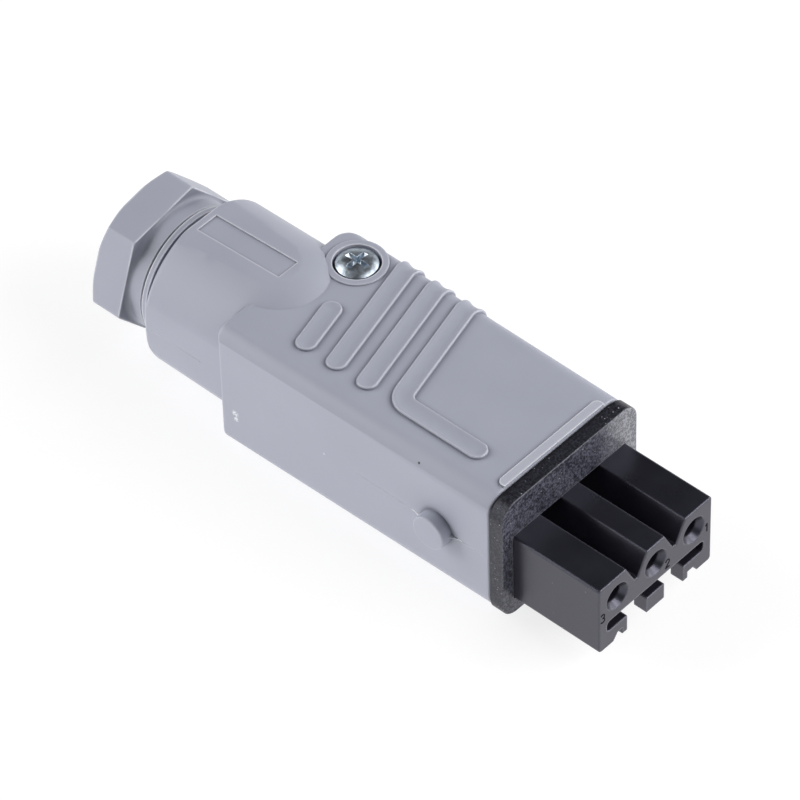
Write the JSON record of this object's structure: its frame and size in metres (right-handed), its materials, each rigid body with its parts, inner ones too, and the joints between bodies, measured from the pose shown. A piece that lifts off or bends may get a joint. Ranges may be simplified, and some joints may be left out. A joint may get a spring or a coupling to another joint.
{
  "type": "heavy duty connector",
  "caption": "Grey cable socket for industrial power: ribbed moulded housing with locking studs, hexagon cable gland, front seal and black contact insert.",
  "frame": {"origin": "on the cable axis, in the plane of the housing's front edge where the mating half seats", "axes": "+X is the mating direction, +Y is to the left seen along +X, +Z is the ribbed top"},
  "size_m": [0.12, 0.0396, 0.0322],
  "materials": {
    "housing_grey": "fine matt moulding",
    "insert_black": "satin moulding",
    "seal_rubber": "grainy matt",
    "contact_brass": "turned",
    "screw_zinc": "bright zinc",
    "spring_steel": "rolled",
    "slip_ring": "moulded"
  },
  "bodies": {
    "shell": {"housing": "housing_grey", "cable_seal": "seal_rubber", "seat_washer": "slip_ring", "front_gasket": "seal_rubber", "contact_insert": "insert_black", "earth_contact": "contact_brass", "earth_screw": "screw_zinc", "earth_wire_guard": "spring_steel", "fixing_screw": "screw_zinc", "fixing_nut": "screw_zinc", "screw_seal": "seal_rubber", "contact_socket_1": "contact_brass", "socket_spring_1": "spring_steel", "terminal_screw_1": "screw_zinc", "wire_guard_1": "spring_steel", "contact_socket_2": "contact_brass", "socket_spring_2": "spring_steel", "terminal_screw_2": "screw_zinc", "wire_guard_2": "spring_steel", "contact_socket_3": "contact_brass", "socket_spring_3": "spring_steel", "terminal_screw_3": "screw_zinc", "wire_guard_3": "spring_steel"},
    "slip_ring": {"thrust_washer": "slip_ring"},
    "gland": {"gland_nut": "housing_grey"}
  },
  "joints": [
    {"name": "gland_advance", "type": "slide", "parent": "shell", "child": "slip_ring", "axis": [-1, 0, 0], "range_m": [0, 0.00423]},
    {"name": "gland_turn", "type": "hinge", "parent": "slip_ring", "child": "gland", "pos_m": [-0.085, 0, 0], "axis": [-1, 0, 0], "range_deg": [0, 1080]}
  ],
  "couplings": [
    {"joint": "gland_advance", "follows": "gland_turn", "m_per_rad": 0.00022459}
  ]
}
